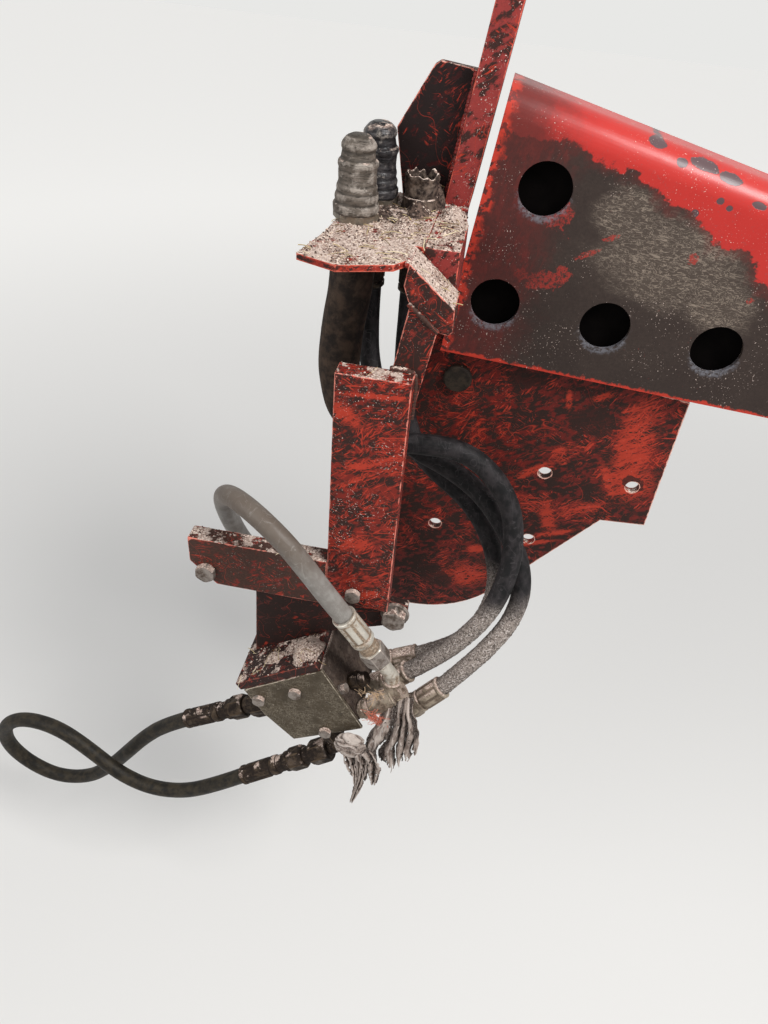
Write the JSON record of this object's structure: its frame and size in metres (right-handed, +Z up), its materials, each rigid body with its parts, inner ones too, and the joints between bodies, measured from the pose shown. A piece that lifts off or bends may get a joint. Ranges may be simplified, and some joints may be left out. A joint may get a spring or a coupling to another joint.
{
  "type": "tractor loader mounting console with hydraulic coupling station",
  "caption": "Right-hand loader mounting console of a farm tractor: side plate, post, mast, holed beam, valve block, hoses and capped hydraulic couplers.",
  "frame": {"origin": "centre of the four chassis bolt holes, on the side plate's back face", "axes": "+X forward along the tractor, +Y inwards to the tractor's centre line, +Z up"},
  "size_m": [1.1805, 0.3278, 1.3024],
  "materials": {
    "red_paint": "worn red paint with soot and dust",
    "beam_paint": "red paint worn to a greasy dark patch",
    "bolt_steel": "dusty zinc-plated steel",
    "coupler_steel": "oily steel",
    "fitting_steel": "yellowish plated steel under dust",
    "block_iron": "oily cast iron",
    "cover_steel": "scratched olive-grey plate",
    "cap_rubber": "dusty ringed rubber",
    "hose_rubber": "black hose with grey dust",
    "grey_hose": "grey weathered hose",
    "boot_rubber": "brown-grey fibrous rubber",
    "rag_cloth": "shredded dirty cloth"
  },
  "bodies": {
    "console": {"arm": "red_paint", "arm_bolt": "bolt_steel", "beam_back_plate": "beam_paint", "block_cartridge": "bolt_steel", "block_plug": "bolt_steel", "bracket_flange": "red_paint", "bracket_plate": "red_paint", "coupler_front": "coupler_steel", "coupler_rear": "coupler_steel", "coupler_shelf": "red_paint", "cover_bolt_1": "bolt_steel", "cover_bolt_2": "bolt_steel", "cover_bolt_3": "bolt_steel", "cover_plate": "cover_steel", "elbow_bar": "red_paint", "end_grey_left": "fitting_steel", "end_grey_right": "fitting_steel", "end_inner": "fitting_steel", "end_loop_low": "fitting_steel", "end_loop_up": "fitting_steel", "end_mid": "fitting_steel", "end_outer": "fitting_steel", "end_rear": "fitting_steel", "end_stub": "fitting_steel", "foot_bar": "red_paint", "foot_bolt": "bolt_steel", "holed_beam": "beam_paint", "hose_grey": "grey_hose", "hose_inner": "hose_rubber", "hose_loop": "hose_rubber", "hose_mid": "hose_rubber", "hose_outer": "hose_rubber", "hose_sleeve": "boot_rubber", "mast_gusset": "red_paint", "mast_plate": "red_paint", "plate_plug": "bolt_steel", "post": "red_paint", "post_bolt": "bolt_steel", "rag": "rag_cloth", "side_plate": "red_paint", "sleeve_clip": "bolt_steel", "strut": "red_paint", "stub_coupling": "coupler_steel", "valve_block": "block_iron"},
    "front_cap": {"cap_front": "cap_rubber"},
    "rear_cap": {"cap_rear": "cap_rubber"},
    "front_collar": {"collar_front": "coupler_steel"},
    "rear_collar": {"collar_rear": "coupler_steel"}
  },
  "joints": [
    {"name": "cap_front_lift", "type": "slide", "parent": "console", "child": "front_cap", "axis": [0, 0, 1], "range_m": [0, 0.08]},
    {"name": "collar_front_slide", "type": "slide", "parent": "console", "child": "front_collar", "axis": [0, 0, 1], "range_m": [-0.006, 0], "stiffness_N_per_m": 1500, "springref_m": 0.002},
    {"name": "cap_rear_lift", "type": "slide", "parent": "console", "child": "rear_cap", "axis": [0, 0, 1], "range_m": [0, 0.08]},
    {"name": "collar_rear_slide", "type": "slide", "parent": "console", "child": "rear_collar", "axis": [0, 0, 1], "range_m": [-0.006, 0], "stiffness_N_per_m": 1500, "springref_m": 0.002}
  ]
}
